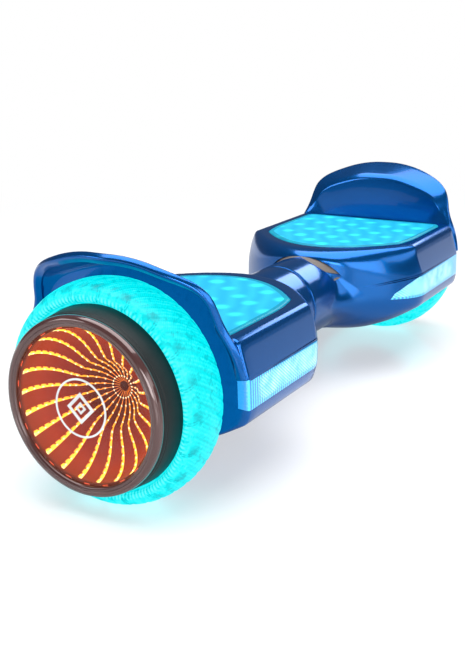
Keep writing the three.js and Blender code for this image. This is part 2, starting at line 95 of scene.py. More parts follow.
# ---- camera
def place_camera():
    eye = Vector((-0.8093, -0.4189, 0.3356))
    look = Vector((0.8348, 0.4755, -0.2775))
    roll = math.radians(-0.70)
    data = bpy.data.cameras.new("camera")
    data.sensor_width = 36.0
    data.lens = 56.70
    data.shift_x = -0.0101
    data.shift_y = -0.0057
    camera = bpy.data.objects.new("camera", data)
    bpy.context.scene.collection.objects.link(camera)
    turn = look.to_track_quat("-Z", "Y") @ Quaternion((0, 0, 1), roll)
    camera.location = eye
    camera.rotation_mode = "QUATERNION"
    camera.rotation_quaternion = turn
    bpy.context.scene.camera = camera


place_camera()


# ---- small mathematics
def clamp(value, low=0.0, high=1.0):
    return min(high, max(low, value))


def smooth(value):
    s = clamp(value)
    return s * s * (3 - 2 * s)


def mix(a, b, share):
    return a + (b - a) * share


def through(knots, at):
    """Piecewise-linear value through (position, value) knots."""
    if at <= knots[0][0]:
        return knots[0][1]
    for (p0, v0), (p1, v1) in zip(knots, knots[1:]):
        if at <= p1:
            return mix(v0, v1, (at - p0) / (p1 - p0))
    return knots[-1][1]


def soft_through(knots, at, reach):
    """The same value, with its corners eased over a reach to either side."""
    steps = [-1.0, -0.5, 0.0, 0.5, 1.0]
    return sum(through(knots, abs(at + reach * s)) for s in steps) / len(steps)


def rounded(corners, steps, closed=True):
    """A polygon of (a, b, size) corners with each corner turned into a quadratic curve."""
    out = []
    count = len(corners)
    for i, (a, b, size) in enumerate(corners):
        if not closed and i in (0, count - 1):
            out.append((a, b))
            continue
        here = Vector((a, b))
        before = Vector(corners[i - 1][:2]) - here
        after = Vector(corners[(i + 1) % count][:2]) - here
        start = here + before.normalized() * min(size, before.length * 0.5)
        end = here + after.normalized() * min(size, after.length * 0.5)
        for k in range(steps + 1):
            t = k / steps
            p = start * (1 - t) ** 2 + here * (2 * t * (1 - t)) + end * t * t
            out.append((p.x, p.y))
    return out


def filled_in(points, spacing, closed=True):
    """The same outline with its long runs divided into pieces no longer than a spacing."""
    out = []
    ends = points + points[:1] if closed else points
    for (a0, b0), (a1, b1) in zip(ends, ends[1:]):
        pieces = max(1, math.ceil(math.hypot(a1 - a0, b1 - b0) / spacing))
        out += [(mix(a0, a1, k / pieces), mix(b0, b1, k / pieces)) for k in range(pieces)]
    return out if closed else out + [points[-1]]


def about_axle(x, radius, angle):
    """A point at a radius from the axle line; the angle is in degrees from +Y."""
    a = math.radians(angle)
    return (x, radius * math.cos(a), AXLE_Z + radius * math.sin(a))


# ---- meshes
def quads(rows, columns, wrap_columns=False, wrap_rows=False):
    faces = []
    for i in range(rows if wrap_rows else rows - 1):
        for j in range(columns if wrap_columns else columns - 1):
            i1, j1 = (i + 1) % rows, (j + 1) % columns
            faces.append((i * columns + j, i * columns + j1, i1 * columns + j1, i1 * columns + j))
    return faces


def tube(rows, base=0):
    """The faces of a tube through rows of points, with both ends closed."""
    count = len(rows[0])
    last = (len(rows) - 1) * count
    faces = quads(len(rows), count, wrap_columns=True)
    faces.append(tuple(range(count - 1, -1, -1)))
    faces.append(tuple(range(last, last + count)))
    return [tuple(base + k for k in face) for face in faces]


def finish_piece(piece, node, material, sharp=35.0):
    """Rides, slots and shades a piece that stands for a CAD node, or goes with one."""
    piece.data.materials.clear()
    piece.data.materials.append(material)
    piece.data.shade_smooth()
    piece.data.set_sharp_from_angle(angle=math.radians(sharp))
    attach(piece, BODY_OF[node])
    return piece


def new_piece(name, points, faces, side=1, marks=None):
    """A mesh object from millimetre points of the left half; side -1 mirrors it."""
    mesh = bpy.data.meshes.new(name)
    turned = faces if side > 0 else [tuple(reversed(f)) for f in faces]
    mesh.from_pydata([(x * side * MM, y * MM, z * MM) for x, y, z in points], [], turned)
    for key, values in (marks or {}).items():
        mesh.attributes.new(key, "FLOAT", "POINT").data.foreach_set("value", values)
    mesh.validate()
    mesh.update()
    piece = bpy.data.objects.new(name, mesh)
    bpy.context.scene.collection.objects.link(piece)
    return piece


def applied(piece, *cutters):
    """Applies every modifier of a piece, and takes its cutters away."""
    bpy.context.view_layer.update()
    graph = bpy.context.evaluated_depsgraph_get()
    mesh = bpy.data.meshes.new_from_object(piece.evaluated_get(graph))
    piece.modifiers.clear()
    old, piece.data = piece.data, mesh
    bpy.data.meshes.remove(old)
    for cutter in cutters:
        bpy.data.objects.remove(cutter)
    return piece


def thicken(piece, thickness):
    skin = piece.modifiers.new("skin", "SOLIDIFY")
    skin.thickness = thickness * MM
    skin.offset = -1
    skin.use_quality_normals = True
    return applied(piece)


def cut(piece, cutter, how="DIFFERENCE"):
    step = piece.modifiers.new("cut", "BOOLEAN")
    step.operation = how
    step.solver = "EXACT"
    step.object = cutter
    return applied(piece, cutter)


def lathe_piece(name, profile, segments, side, marks=None):
    """A closed profile of (x, radius) points turned about the axle line."""
    points = [about_axle(x, r, 360.0 * k / segments) for k in range(segments) for x, r in profile]
    faces = quads(segments, len(profile), wrap_columns=True, wrap_rows=True)
    return new_piece(name, points, faces, side, marks)


# ---- materials
class Look:
    """A Principled material that is put together from nodes."""

    def __init__(self, name, **values):
        self.material = bpy.data.materials.new(name)
        self.material.use_nodes = True
        self.tree = self.material.node_tree
        self.shader = self.tree.nodes["Principled BSDF"]
        self.set(**values)

    def put(self, socket, value):
        """Links a node's output to a socket, or gives the socket a constant."""
        if isinstance(value, bpy.types.NodeSocket):
            self.tree.links.new(value, socket)
        elif isinstance(value, tuple) and len(value) == 3 and socket.type == "RGBA":
            socket.default_value = (*value, 1.0)
        else:
            socket.default_value = value

    def set(self, **values):
        for key, value in values.items():
            self.put(self.shader.inputs[key.replace("_", " ")], value)

    def node(self, kind, inputs=None, out=0, **settings):
        node = self.tree.nodes.new("ShaderNode" + kind)
        for key, value in settings.items():
            setattr(node, key, value)
        for key, value in (inputs or {}).items():
            self.put(node.inputs[key], value)
        return node.outputs[out]

    def where(self, scale=(1.0, 1.0, 1.0), turn=(0.0, 0.0, 0.0), shift=(0.0, 0.0, 0.0)):
        place = self.node("TexCoord", out=3)
        inputs = {"Vector": place, "Scale": scale, "Rotation": turn, "Location": shift}
        return self.node("Mapping", inputs)

    def mark(self, name):
        return self.node("Attribute", out=2, attribute_name=name)

    def noise(self, scale, detail=3.0):
        return self.node("TexNoise", {"Vector": self.where(), "Scale": scale, "Detail": detail})

    def sums(self, how, a, b=0.0, c=0.0):
        return self.node("Math", {0: a, 1: b, 2: c}, operation=how)

    def ramp(self, value, *stops):
        node = self.tree.nodes.new("ShaderNodeValToRGB")
        self.tree.links.new(value, node.inputs[0])
        elements = node.color_ramp.elements
        elements[0].position, elements[1].position = stops[0][0], stops[-1][0]
        elements[0].color, elements[1].color = (*stops[0][1], 1.0), (*stops[-1][1], 1.0)
        for at, color in stops[1:-1]:
            elements.new(at).color = (*color, 1.0)
        return node.outputs[0]

    def blend(self, share, a, b):
        return self.node("Mix", {0: share, 6: a, 7: b}, out=2, data_type="RGBA")

    def remap(self, value, low=0.0, high=1.0, to_low=0.0, to_high=1.0, kind="LINEAR"):
        inputs = {"Value": value, "From Min": low, "From Max": high, "To Min": to_low, "To Max": to_high}
        return self.node("MapRange", inputs, interpolation_type=kind)

    def waves(self, vector, scale, **more):
        inputs = {key.replace("_", " "): value for key, value in more.items()}
        return self.node("TexWave", {"Vector": vector, "Scale": scale, **inputs}, out=1)

    def bump(self, height, distance, strength=1.0):
        return self.node("Bump", {"Height": height, "Distance": distance, "Strength": strength})


def blue_paint():
    look = Look("blue_lacquer", Metallic=0.75, Roughness=0.2, Specular_IOR_Level=0.25)
    look.set(Coat_Weight=0.3, Coat_Roughness=0.02)
    flakes = look.noise(2600.0, 2.0)
    drift = look.noise(14.0, 2.0)
    deep = look.blend(flakes, (0.0, 0.082, 0.31), (0.0, 0.115, 0.40))
    look.set(Base_Color=look.blend(look.sums("MULTIPLY", drift, 0.25), deep, (0.0, 0.055, 0.27)))
    look.set(Normal=look.bump(flakes, 0.00002, 0.25))
    look.set(Coat_Normal=look.bump(look.noise(120.0, 2.0), 0.00004, 0.2))
    return look.material


def plain(name, color, roughness, metallic=0.0, grain=900.0, depth=0.00005, vary=0.25, **more):
    """A solid finish with a slight mottle of colour and a fine grain."""
    look = Look(name, Metallic=metallic, **more)
    mottle = look.noise(60.0, 4.0)
    dark = tuple(c * (1 - vary) for c in color)
    light = tuple(min(1.0, c * (1 + vary)) for c in color)
    look.set(Base_Color=look.blend(mottle, dark, light))
    fine = look.noise(grain, 3.0)
    rough = look.remap(mottle, to_low=roughness * 0.85, to_high=roughness * 1.2)
    look.set(Roughness=rough, Normal=look.bump(fine, depth, 0.5))
    return look.material


def pad_look():
    look = Look("lit_pad", Roughness=0.38, Specular_IOR_Level=0.25)
    # lamps in staggered rows under the pad
    rows = look.where((1.0, 1.0, 0.0), (0.0, 0.0, math.radians(38)), (0.008, 0.004, 0.0))
    cells = look.node("TexVoronoi", {"Vector": rows, "Scale": 40.0, "Randomness": 0.12})
    spot = look.remap(cells, 0.0, 0.38, 1.0, 0.0, "SMOOTHSTEP")
    along = look.where((1.0, 1.0, 0.0), (0.0, 0.0, math.radians(64)))
    waves = look.waves(along, 22.0, Distortion=5.0, Detail=1.5, Detail_Scale=0.9)
    ring = look.remap(look.mark("edge"), 4.2, 5.4, 1.0, 0.0, "SMOOTHSTEP")
    low, middle, high = (0.014, 0.42, 0.68), (0.018, 0.45, 0.75), (0.022, 0.49, 0.80)
    body = look.ramp(waves, (0.0, low), (0.5, middle), (1.0, high))
    uneven = look.sums("MULTIPLY", spot, look.remap(look.noise(30.0), to_low=0.4, to_high=1.3))
    lit = look.blend(uneven, body, (0.05, 1.0, 1.0))
    color = look.blend(look.sums("MULTIPLY", ring, 0.8), lit, (0.003, 0.25, 0.37))
    look.set(Base_Color=look.blend(0.55, color, (0.0, 0.0, 0.0)))
    look.set(Emission_Color=color, Emission_Strength=0.72)
    look.set(Normal=look.bump(waves, 0.0002, 0.25))
    return look.material


def lens_look():
    look = Look("lit_lens", Roughness=0.12, Coat_Weight=1.0, Coat_Roughness=0.02)
    slanted = look.where((1.0, 0.0, 1.0), (0.0, math.radians(52), 0.0))
    hatch = look.waves(slanted, 150.0, Distortion=0.4)
    ribs = look.waves(look.where((1.0, 0.0, 0.0)), 95.0, Distortion=1.2, Detail=2.0)
    inner = look.mark("inner")
    clouds = look.noise(70.0, 3.0)
    bright = look.blend(hatch, (0.10, 0.60, 0.95), (0.50, 0.97, 1.0))
    share = look.ramp(clouds, (0.40, (0.0,) * 3), (0.70, (1.0,) * 3))
    soft = look.blend(share, bright, (0.05, 0.50, 0.95))
    rim = look.blend(ribs, (0.02, 0.16, 0.62), (0.06, 0.70, 0.98))
    color = look.blend(inner, rim, soft)
    look.set(Base_Color=look.blend(0.5, color, (0.0, 0.0, 0.0)))
    look.set(Emission_Color=color, Emission_Strength=0.85)
    look.set(Normal=look.bump(hatch, 0.0003, 0.5))
    return look.material


def tyre_look():
    look = Look("lit_tyre", Roughness=0.4, Specular_IOR_Level=0.2)
    glow = look.mark("glow")
    fine = look.noise(420.0, 3.0)
    flecks = look.ramp(look.noise(190.0, 2.0), (0.56, (1.0,) * 3), (0.66, (0.84,) * 3))
    shade = look.sums("MULTIPLY", glow, look.remap(fine, to_low=0.86, to_high=1.14))
    shade = look.sums("MULTIPLY", shade, flecks)
    color = look.ramp(
        shade,
        (0.0, (0.0, 0.10, 0.12)),
        (0.35, (0.0, 0.36, 0.42)),
        (0.6, (0.0, 0.62, 0.68)),
        (0.8, (0.0, 0.93, 0.97)),
        (1.0, (0.16, 1.0, 1.0)),
    )
    look.set(Base_Color=look.blend(0.9, color, (0.0, 0.0, 0.0)))
    look.set(Emission_Color=color, Emission_Strength=0.92)
    look.set(Normal=look.bump(fine, 0.0002, 0.5))
    return look.material


def bowl_painted_glow_look():
    # The mirror bowl is no lamp: its whole glow is painted light, a painted reflection of the red rim
    # lamps, dark at the rim, brightest a little way in and dark maroon towards the middle.
    look = Look("cap_bowl", Roughness=0.5, Specular_IOR_Level=0.15)
    depth = look.mark("depth")
    haze = look.noise(45.0, 3.0)
    glow = look.ramp(
        depth,
        (0.0, (0.10, 0.020, 0.014)),
        (0.07, (0.42, 0.050, 0.016)),
        (0.30, (0.52, 0.050, 0.018)),
        (0.50, (0.36, 0.028, 0.018)),
        (0.72, (0.13, 0.014, 0.012)),
        (1.0, (0.045, 0.010, 0.010)),
    )
    # uneven orange patches in the painted reflected glow
    color = look.blend(look.sums("MULTIPLY", haze, 0.35), glow, (0.30, 0.06, 0.03))
    look.set(Base_Color=look.blend(0.85, color, (0.0, 0.0, 0.0)))
    look.set(Emission_Color=color, Emission_Strength=0.9)
    return look.material


def painted_reflection_trail_look():
    # Painted reflections of the rim lamps in the mirror bowl, no lamps of their own: yellow-white at the
    # rim, fading to red further in.
    look = Look("lamp_trail", Roughness=0.3)
    heat = look.mark("trail_heat")
    color = look.ramp(
        heat,
        (0.0, (0.35, 0.03, 0.01)),
        (0.3, (0.85, 0.16, 0.01)),
        (0.55, (1.0, 0.50, 0.02)),
        (0.8, (1.0, 0.86, 0.08)),
        (1.0, (1.0, 1.0, 0.72)),
    )
    flicker = look.noise(300.0, 2.0)
    look.set(Base_Color=look.blend(flicker, (0.4, 0.2, 0.02), (0.5, 0.3, 0.05)))
    look.set(Emission_Color=color, Emission_Strength=1.7)
    return look.material


def clear_cap_look():
    look = Look("smoked_cap")
    tree = look.tree
    haze = look.noise(30.0, 2.0)
    tint = look.blend(haze, (0.95, 0.90, 0.88), (0.98, 0.94, 0.93))
    look.set(Base_Color=tint)
    look.set(Roughness=0.02, Transmission_Weight=1.0, IOR=1.06, Coat_Weight=0.35, Coat_Roughness=0.02)
    output = tree.nodes["Material Output"]
    through_it = look.node("BsdfTransparent", {"Color": tint})
    gloss = look.node("BsdfGlossy", {"Roughness": 0.03})
    facing = look.node("LayerWeight", {"Blend": 0.5}, out=1)
    edge = look.sums("MULTIPLY_ADD", look.sums("POWER", facing, 4.0), 0.4, 0.010)
    both = look.node("MixShader", {0: edge, 1: through_it, 2: gloss})
    tree.links.new(both, output.inputs["Surface"])
    return look.material


def glow_dash_look():
    look = Look("rim_lamps", Roughness=0.3)
    haze = look.noise(200.0, 2.0)
    color = look.blend(haze, (1.0, 0.07, 0.02), (1.0, 0.16, 0.05))
    look.set(Base_Color=(0.3, 0.05, 0.03), Emission_Color=color, Emission_Strength=1.0)
    return look.material


def board_look():
    look = Look("lamp_board", Roughness=0.4)
    cells = look.node("TexVoronoi", {"Vector": look.where(), "Scale": 60.0, "Randomness": 0.0})
    chip = look.ramp(cells, (0.10, (1.0, 0.95, 0.7)), (0.16, (0.75, 0.78, 0.80)))
    look.set(Base_Color=chip, Normal=look.bump(cells, 0.0003, 0.4))
    return look.material


def circuit_look():
    look = Look("circuit_green", Roughness=0.35, Coat_Weight=0.5)
    tracks = look.node(
        "TexBrick",
        {
            "Vector": look.where(),
            "Color1": (0.01, 0.10, 0.04),
            "Color2": (0.015, 0.14, 0.06),
            "Mortar": (0.05, 0.28, 0.12),
            "Scale": 90.0,
            "Mortar Size": 0.02,
        },
    )
    look.set(Base_Color=tracks, Normal=look.bump(look.noise(500.0), 0.0002, 0.3))
    return look.material


def lamination_look():
    look = Look("stator_laminations", Metallic=0.8, Roughness=0.38)
    bands = look.waves(look.where((1.0, 0.0, 0.0)), 320.0)
    look.set(Base_Color=look.blend(bands, (0.42, 0.20, 0.08), (0.62, 0.33, 0.14)))
    look.set(Normal=look.bump(bands, 0.0002, 0.6))
    return look.material


BLUE = blue_paint()
PAD = pad_look()
LENS = lens_look()
TYRE = tyre_look()
BOWL_PAINTED_GLOW = bowl_painted_glow_look()
TRAIL_PAINTED_REFLECTION = painted_reflection_trail_look()
CLEAR = clear_cap_look()
DASH = glow_dash_look()
BOARD = board_look()
CIRCUIT = circuit_look()
COPPER = lamination_look()
SEAL = plain("neck_seal_grey", (0.16, 0.135, 0.115), 0.45)
HUB = plain("hub_graphite", (0.012, 0.014, 0.015), 0.5, 0.1, Specular_IOR_Level=0.25)
BEZEL = plain("cap_bezel_brown", (0.085, 0.036, 0.034), 0.16, 0.25, 1500.0, 0.00002, 0.12, Coat_Weight=0.8)
MARK = plain("mark_silver", (0.74, 0.78, 0.80), 0.4)
RUBBER = plain("black_rubber", (0.014, 0.014, 0.015), 0.7)
PLASTIC = plain("black_plastic", (0.02, 0.021, 0.023), 0.4)
ALLOY = plain("cast_alloy", (0.42, 0.43, 0.45), 0.45, 0.9, 350.0, 0.0002, 0.15)
STEEL = plain("axle_steel", (0.55, 0.56, 0.58), 0.28, 1.0, 1200.0, 0.00003, 0.1)
BRONZE = plain("bronze", (0.50, 0.31, 0.12), 0.35, 1.0, 700.0, 0.00005, 0.15)
BATTERY = plain("battery_wrap", (0.05, 0.20, 0.45), 0.35, 0.0, 200.0, 0.0002, 0.2)


# ---- curves of the housing
def sideways(pair, y):
    return mix(pair[0], pair[1], min(1.0, y / END_BOW_Y) ** 2)


def top_share(y, z):
    rise = sideways(TOP_RISE, abs(y))
    return clamp((z - (TOP_Z - rise)) / rise)


def end_x(y, z):
    """Where the housing's inner end face stands."""
    lean = 1 - math.sqrt(1 - top_share(y, z) ** 2)
    under = clamp((AXLE_Z - z) / (AXLE_Z - BELLY_Z))
    bow = END_BOW * (y / END_BOW_Y) ** 2
    return END_X + bow + sideways(TOP_REACH, abs(y)) * lean + BELLY_SWEEP * under**2


def off_top(y, z):
    """Angle off the top about the axle line, 0 to 180 degrees."""
    return abs(math.degrees(math.atan2(y, z - AXLE_Z)))


def arch_gap(off):
    return ARCH_GAP * min(1.0, off / ARCH_END) ** 1.3


def flare(off):
    if off < ARCH_END:
        return ARCH_GAP * smooth((off - 45) / 17)
    sides = ARCH_GAP + (FLARE_R - ARCH_GAP) * smooth((off - ARCH_END) / 40)
    return sides * (1 - 0.85 * smooth((off - 95) / 50))


LEAF = [(SPLIT_Z, 88.0), (84.0, 92.0), (91.0, 102.0), (97.0, 115.0), (LENS_TOP_Z, 128.0)]
END_ROWS = 26
SIDE_ROWS = 22
EDGE_R = 3.0


def section_columns():
    """The housing's cross-section: (y, z) from the rear top edge over the belly to the front."""
    half = list(SECTION)
    corners = half + [(0.0, BELLY_Z, 14.0)]
    corners += [(-y, z, r) for y, z, r in reversed(half)] + [(0.0, TOP_Z, 20.0)]
    return filled_in(rounded(corners, 6), 5.0)


COLUMNS = section_columns()


def dense_path(y, z):
    """One line over the skin, from the neck opening to the wheel side: (x, radius) points."""
    reach = math.hypot(y, z - AXLE_Z)
    c, s = y / reach, (z - AXLE_Z) / reach
    off = off_top(y, z)
    start = NECK_R + max(flare(off), arch_gap(off) if off < ARCH_END else 0.0)
    share_top = top_share(y, z)
    path = []
    for k in range(161):
        r = start + (reach - start) * (1 - (1 - k / 160) ** 2)
        turn = clamp((r - (reach - CORNER_R)) / CORNER_R)
        back = CORNER_R * (1 - math.sqrt(1 - turn * turn)) * (1 - share_top)
        path.append((end_x(r * c, AXLE_Z + r * s) + back, r))
    corner_end = len(path) - 1
    path.append((WALL_X - EDGE_R, reach))
    return path, corner_end


def lengths_along(path):
    total = [0.0]
    for (x0, r0), (x1, r1) in zip(path, path[1:]):
        total.append(total[-1] + math.hypot(x1 - x0, r1 - r0))
    return total


def at_length(path, total, want):
    low, high = 0, len(total) - 1
    while high - low > 1:
        middle = (low + high) // 2
        if total[middle] <= want:
            low = middle
        else:
            high = middle
    run = total[high] - total[low]
    share = clamp((want - total[low]) / run) if run else 0.0
    return tuple(mix(a, b, share) for a, b in zip(path[low], path[high]))


def in_lens(y, z):
    return y < -60 and SPLIT_Z - 0.01 <= z <= LENS_TOP_Z + 0.01


def leaf_length(y, z, path, total):
    """How far along a column the headlight's leaf-shaped inner end is."""
    s = (z - AXLE_Z) / math.hypot(y, z - AXLE_Z)
    for (x, r), length in zip(path, total):
        if x >= through(LEAF, AXLE_Z + r * s):
            return length
    return total[-1] * 0.5


def skin_grid():
    """Rows of points for every column; in the headlight's columns the end-face rows stop where the
    headlight starts.
    """
    split = []
    paths = []
    for y, z in COLUMNS:
        path, corner_end = dense_path(y, z)
        total = lengths_along(path)
        paths.append((path, total))
        split.append(leaf_length(y, z, path, total) if in_lens(y, z) else total[corner_end])
    lens_at = [i for i, (y, z) in enumerate(COLUMNS) if in_lens(y, z)]
    low = min(lens_at)
    for step in range(1, 9):
        i = low - step
        split[i] = mix(split[low], split[i], smooth(step / 9))
    columns = []
    for (y, z), (path, total), middle in zip(COLUMNS, paths, split):
        reach = math.hypot(y, z - AXLE_Z)
        line = []
        for k in range(END_ROWS):
            line.append(at_length(path, total, middle * (k / END_ROWS) ** 0.85))
        for k in range(SIDE_ROWS + 1):
            share = (k / SIDE_ROWS) ** 1.7
            line.append(at_length(path, total, mix(middle, total[-1], share)))
        for k in (1, 2, 3):
            a = math.radians(30 * k)
            turn = EDGE_R * (1 - math.cos(a))
            line.append((WALL_X - EDGE_R + EDGE_R * math.sin(a), reach - turn))
        inside = reach - 9.0
        line += [(WALL_X, inside), (WALL_X, min(60.0, inside * 0.85)), (WALL_X, min(40.0, inside * 0.6))]
        line.append((WALL_X, 14.0))
        columns.append([(x, r * y / reach, AXLE_Z + r * (z - AXLE_Z) / reach) for x, r in line])
    return columns


GRID = skin_grid()
ROWS = len(GRID[0])


def skin_patch(name, keep, side, marks=None):
    """The quads of the housing's skin that a test on (column, row) keeps."""
    count = len(GRID)
    used = {}
    points = []
    faces = []

    def index(i, k):
        if (i, k) not in used:
            used[(i, k)] = len(points)
            points.append(GRID[i][k])
        return used[(i, k)]

    for i in range(count):
        j = (i + 1) % count
        for k in range(ROWS - 1):
            if keep(i, k):
                faces.append((index(i, k), index(i, k + 1), index(j, k + 1), index(j, k)))
    values = {key: [f(*p) for p in points] for key, f in (marks or {}).items()}
    return new_piece(name, points, faces, side, values)


def lens_quad(i, k):
    (_, za), (yb, zb) = COLUMNS[i], COLUMNS[(i + 1) % len(COLUMNS)]
    inside = in_lens(COLUMNS[i][0], za) and in_lens(yb, zb)
    return inside and END_ROWS <= k < END_ROWS + SIDE_ROWS + 4


def split_by_plane(piece, upper):
    """Keeps what is above, or below, the parting plane."""
    mesh = bmesh.new()
    mesh.from_mesh(piece.data)
    bmesh.ops.bisect_plane(
        mesh,
        geom=mesh.verts[:] + mesh.edges[:] + mesh.faces[:],
        dist=1e-6,
        plane_co=(0, 0, SPLIT_Z * MM),
        plane_no=(0, 0, 1),
        clear_inner=upper,
        clear_outer=not upper,
    )
    mesh.to_mesh(piece.data)
    mesh.free()
    return piece


# ---- foot pad outline
PAD_SIDE_Y, PAD_END_X, PAD_BOW, PAD_WHEEL_X = 77.0, 72.0, 53.0, 228.0


def pad_plan():
    """The pad's plan with soft corners, as a list of (x, y)."""
    corners = [(PAD_WHEEL_X, -PAD_SIDE_Y, 9.0), (PAD_WHEEL_X, PAD_SIDE_Y, 9.0)]
    corners.append((143.0, PAD_SIDE_Y, 16.0))
    steps = 28
    for i in range(steps + 1):
        y = (PAD_SIDE_Y - 5) * (1 - 2 * i / steps)
        corners.append((PAD_END_X + PAD_BOW * (y / PAD_SIDE_Y) ** 2, y, 1.5))
    corners.append((143.0, -PAD_SIDE_Y, 16.0))
    return filled_in(rounded(corners, 5), 6.0)


PAD_PLAN = pad_plan()


def pad_outline(margin):
    """The same plan grown by a margin, point for point."""
    grown = []
    count = len(PAD_PLAN)
    for i, (x, y) in enumerate(PAD_PLAN):
        x0, y0 = PAD_PLAN[i - 1]
        x1, y1 = PAD_PLAN[(i + 1) % count]
        run = math.hypot(x1 - x0, y1 - y0)
        grown.append((x + (y1 - y0) / run * margin, y - (x1 - x0) / run * margin))
    return grown


def over_pad(x, y, margin):
    """True where the pad, grown by a margin, would cover a point of the top."""
    end = PAD_END_X + PAD_BOW * (y / PAD_SIDE_Y) ** 2
    return end - margin < x < PAD_WHEEL_X + margin and abs(y) < PAD_SIDE_Y + margin


def open_for_pad(piece, side):
    """Takes the flat top away over the pad and closes it up to the pad's eased well."""
    mesh = bmesh.new()
    mesh.from_mesh(piece.data)
    flat = (TOP_Z - 0.01) * MM
    gone = [
        f
        for f in mesh.faces
        if all(v.co.z > flat for v in f.verts)
        and any(over_pad(v.co.x * side / MM, v.co.y / MM, 3.0) for v in f.verts)
    ]
    before = set(e for e in mesh.edges if e.is_boundary)
    bmesh.ops.delete(mesh, geom=gone, context="FACES")
    rim = [e for e in mesh.edges if e.is_boundary and e not in before]
    levels = [(TOP_Z, 1.5), (TOP_Z - 0.25, 0.85), (TOP_Z - 0.9, 0.5), (TOP_Z - 8.5, 0.5)]
    loops = [
        [mesh.verts.new((x * side * MM, y * MM, z * MM)) for x, y in pad_outline(m)]
        for z, m in levels
    ]
    count = len(loops[0])
    for high, low in zip(loops, loops[1:]):
        for i in range(count):
            j = (i + 1) % count
            quad = (high[i], high[j], low[j], low[i])
            mesh.faces.new(quad if side > 0 else quad[::-1])
    top = [mesh.edges.get((loops[0][i], loops[0][(i + 1) % count])) for i in range(count)]
    filled = bmesh.ops.triangle_fill(mesh, edges=rim + top, use_beauty=True, normal=(0, 0, 1))
    for item in filled["geom"]:
        if isinstance(item, bmesh.types.BMFace) and item.normal.z < 0:
            item.normal_flip()
    mesh.to_mesh(piece.data)
    mesh.free()


def round_cutter(x, z, radius, y0, y1, side, segments=48):
    loops = [
        [
            (x + radius * math.cos(a), y, z + radius * math.sin(a))
            for a in (2 * math.pi * k / segments for k in range(segments))
        ]
        for y in (y1, y0)
    ]
    return new_piece("round_cutter", loops[0] + loops[1], tube(loops), side)


# ---- the half boards
def face_outwards(piece):
    """Makes a closed piece's faces point outwards."""
    mesh = bmesh.new()
    mesh.from_mesh(piece.data)
    bmesh.ops.remove_doubles(mesh, verts=mesh.verts[:], dist=1e-7)
    bmesh.ops.recalc_face_normals(mesh, faces=mesh.faces[:])
    mesh.to_mesh(piece.data)
    mesh.free()
    return piece


def even_shading(piece):
    even = piece.modifiers.new("even_shading", "WEIGHTED_NORMAL")
    even.keep_sharp = True
    even.weight = 60
    return piece


REAR_OPENINGS = [("charge_socket", 8.2), ("power_button", 6.7)]
REAR_CUT_Y = (80, 110)


def make_shells(tag, side):
    upper = skin_patch("upper_shell_skin" + tag, lambda i, k: not lens_quad(i, k), side)
    lower = bpy.data.objects.new("lower_shell_skin" + tag, upper.data.copy())
    bpy.context.scene.collection.objects.link(lower)
    split_by_plane(upper, True)
    split_by_plane(lower, False)
    open_for_pad(upper, side)
    thicken(upper, WALL)
    thicken(lower, WALL)
    if side > 0:
        for node, radius in REAR_OPENINGS:
            cutter = round_cutter(*middle_xz(node), radius, *REAR_CUT_Y, side)
            cut(upper, face_outwards(cutter))
    finish_piece(upper, "upper_shell" + tag, BLUE, 40.0)
    finish_piece(lower, "lower_shell" + tag, BLUE, 40.0)
    even_shading(upper)
    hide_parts("upper_shell" + tag)
    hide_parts("lower_shell" + tag)


def lens_inner(x, y, z):
    """0 on the lens's border, 1 inside its inset line."""
    top = LENS_TOP_Z - z
    bottom = z - SPLIT_Z
    return smooth((min(top, bottom) - 2.2) / 1.6) * smooth((WALL_X - 17 - x) / 3)


def make_lens(tag, side):
    lens = skin_patch("headlight_lens_skin" + tag, lens_quad, side, {"inner": lens_inner})
    thicken(lens, WALL)
    finish_piece(lens, "headlight_lens" + tag, LENS, 50.0)
    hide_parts("headlight_lens" + tag)


def collar_line(angle, columns_off):
    """The neck's outer line: (x, radius) from the seam in the middle to the end face."""
    a = math.radians(angle)
    c, s = math.cos(a), math.sin(a)
    fillet = flare(columns_off)
    steps = 14
    far = []
    for k in range(steps + 1):
        step = k / steps
        r = NECK_R + fillet * (1 - math.sqrt(1 - step * step))
        face = end_x(r * c, AXLE_Z + r * s)
        short = 1.5 + 8.5 * math.sin(math.pi * min(1.0, columns_off / ARCH_END)) ** 0.8
        inside = -short * (1 - smooth((columns_off - ARCH_END + 4) / 4)) if columns_off < ARCH_END else 0.0
        far.append((face - fillet * (1 - step) + inside, r))
    first = far[0][0]
    near = [(0.5, NECK_R - 2.0), (0.5, NECK_R - 0.6), (0.7, NECK_R - 0.15), (1.1, NECK_R)]
    near += [(mix(1.1, first, k / 10), NECK_R) for k in range(1, 10)]
    return near + far


def make_neck(tag, side):
    columns = []
    for y, z in COLUMNS:
        off = off_top(y, z)
        angle = math.degrees(math.atan2(z - AXLE_Z, y))
        columns.append([about_axle(x, r, angle) for x, r in collar_line(angle, off)])
    count = len(columns)
    faces = quads(count, len(columns[0]), wrap_rows=True)
    neck = new_piece("neck_skin" + tag, [p for c in columns for p in c], faces, side)
    thicken(neck, 2.0)
    finish_piece(neck, "neck_collar" + tag, BLUE, 50.0)
    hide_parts("neck_collar" + tag)
    rows = []
    for angle in range(90 - 63, 90 + 64, 2):
        off = abs(angle - 90)
        a = math.radians(angle)
        y, z = NECK_R * math.cos(a), AXLE_Z + NECK_R * math.sin(a)
        start = collar_line(angle, min(off, ARCH_END - 0.01))[-1][0] - 3.0
        face = end_x(y, z)
        gap = arch_gap(off)
        low = NECK_R - 0.5
        line = [(start, low), (face - 5.0, low + 0.4), (face + 2, NECK_R + gap * 0.75)]
        line += [(face + 12, NECK_R + gap + 1.0), (face + 12, low - 1.2), (start, low - 1.2)]
        rows.append([about_axle(x, r, angle) for x, r in line])
    seal = face_outwards(new_piece("neck_gaiter" + tag, [p for r in rows for p in r], tube(rows), side))
    finish_piece(seal, "neck_seal" + tag, SEAL, 40.0)
    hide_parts("neck_seal" + tag)


